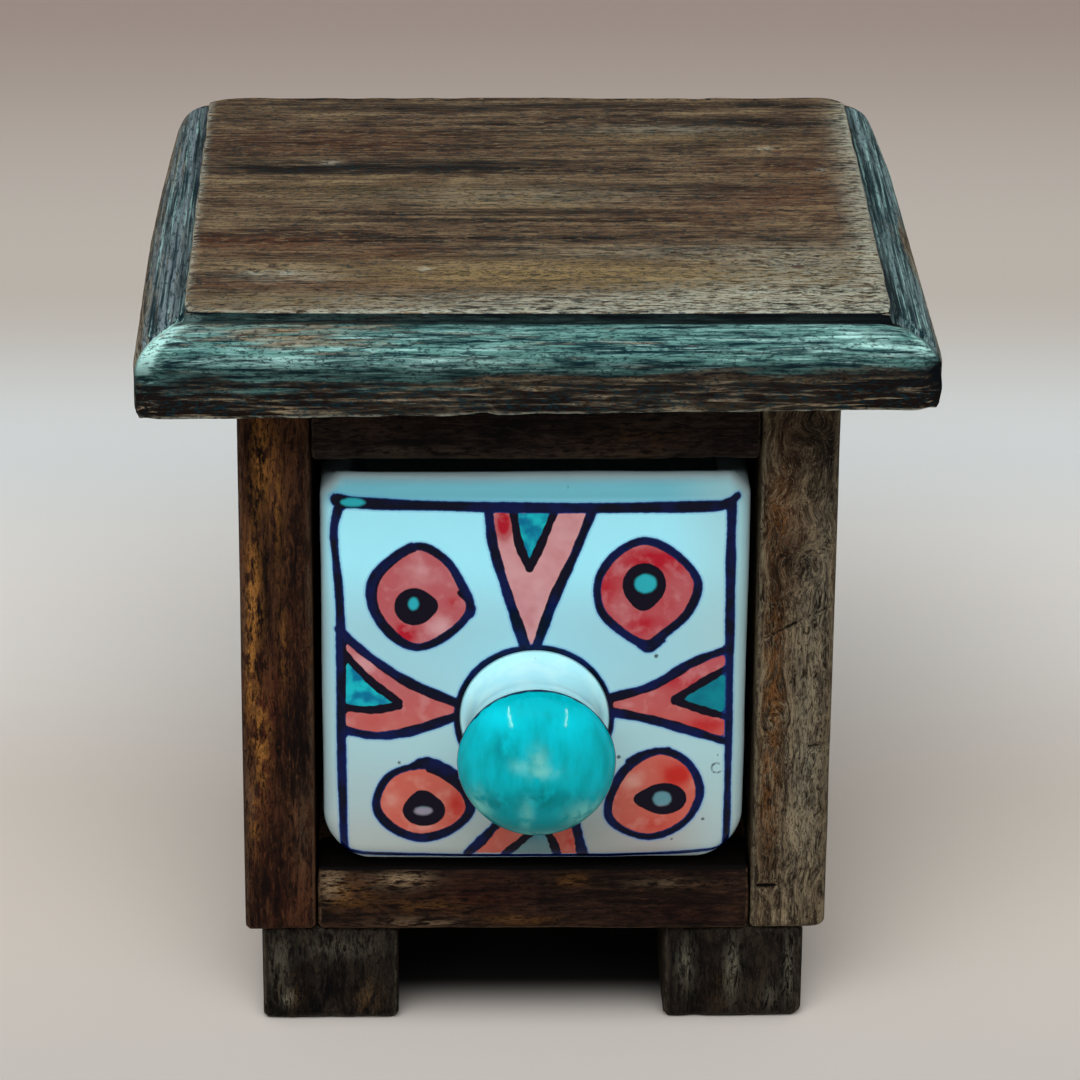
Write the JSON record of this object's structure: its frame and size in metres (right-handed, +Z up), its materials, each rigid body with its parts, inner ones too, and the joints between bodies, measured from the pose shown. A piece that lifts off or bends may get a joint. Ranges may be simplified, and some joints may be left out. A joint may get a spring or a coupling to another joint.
{
  "type": "mini chest of drawers",
  "caption": "Tabletop mini chest of worn boards with a moulded top, standing on runners, with a painted glazed ceramic drawer that slides out by its round knob.",
  "frame": {"origin": "on the table, under the middle of the whole chest with its knob", "axes": "+X along the front to the right as a person faces the drawer, +Y from the front to the back, +Z up"},
  "size_m": [0.1188, 0.1116, 0.1235],
  "materials": {
    "moulded_top": "old brown board, its moulding rubbed blue-green paint",
    "side_boards": "worn and waxed reclaimed wood",
    "cross_boards": "dark stained reclaimed wood",
    "runners": "near-black stained wood, end grain to the front",
    "back_panel": "thin dark stained panel",
    "drawer_glaze": "cool white gloss glaze, painted in cobalt, red and teal on the front",
    "knob_glaze": "turquoise gloss glaze over white",
    "brads": "dull, lightly rusted wire"
  },
  "bodies": {
    "carcass": {"top_board": "moulded_top", "left_side": "side_boards", "right_side": "side_boards", "ceiling_board": "cross_boards", "floor_board": "cross_boards", "back_panel": "back_panel", "left_runner": "runners", "right_runner": "runners", "top_brads": "brads", "left_side_brads": "brads", "right_side_brads": "brads", "back_panel_brads": "brads", "runner_brads": "brads"},
    "drawer": {"drawer_tray": "drawer_glaze", "drawer_knob": "knob_glaze"}
  },
  "joints": [
    {"name": "drawer_slide", "type": "slide", "parent": "carcass", "child": "drawer", "axis": [0, -1, 0], "range_m": [0, 0.07]}
  ]
}
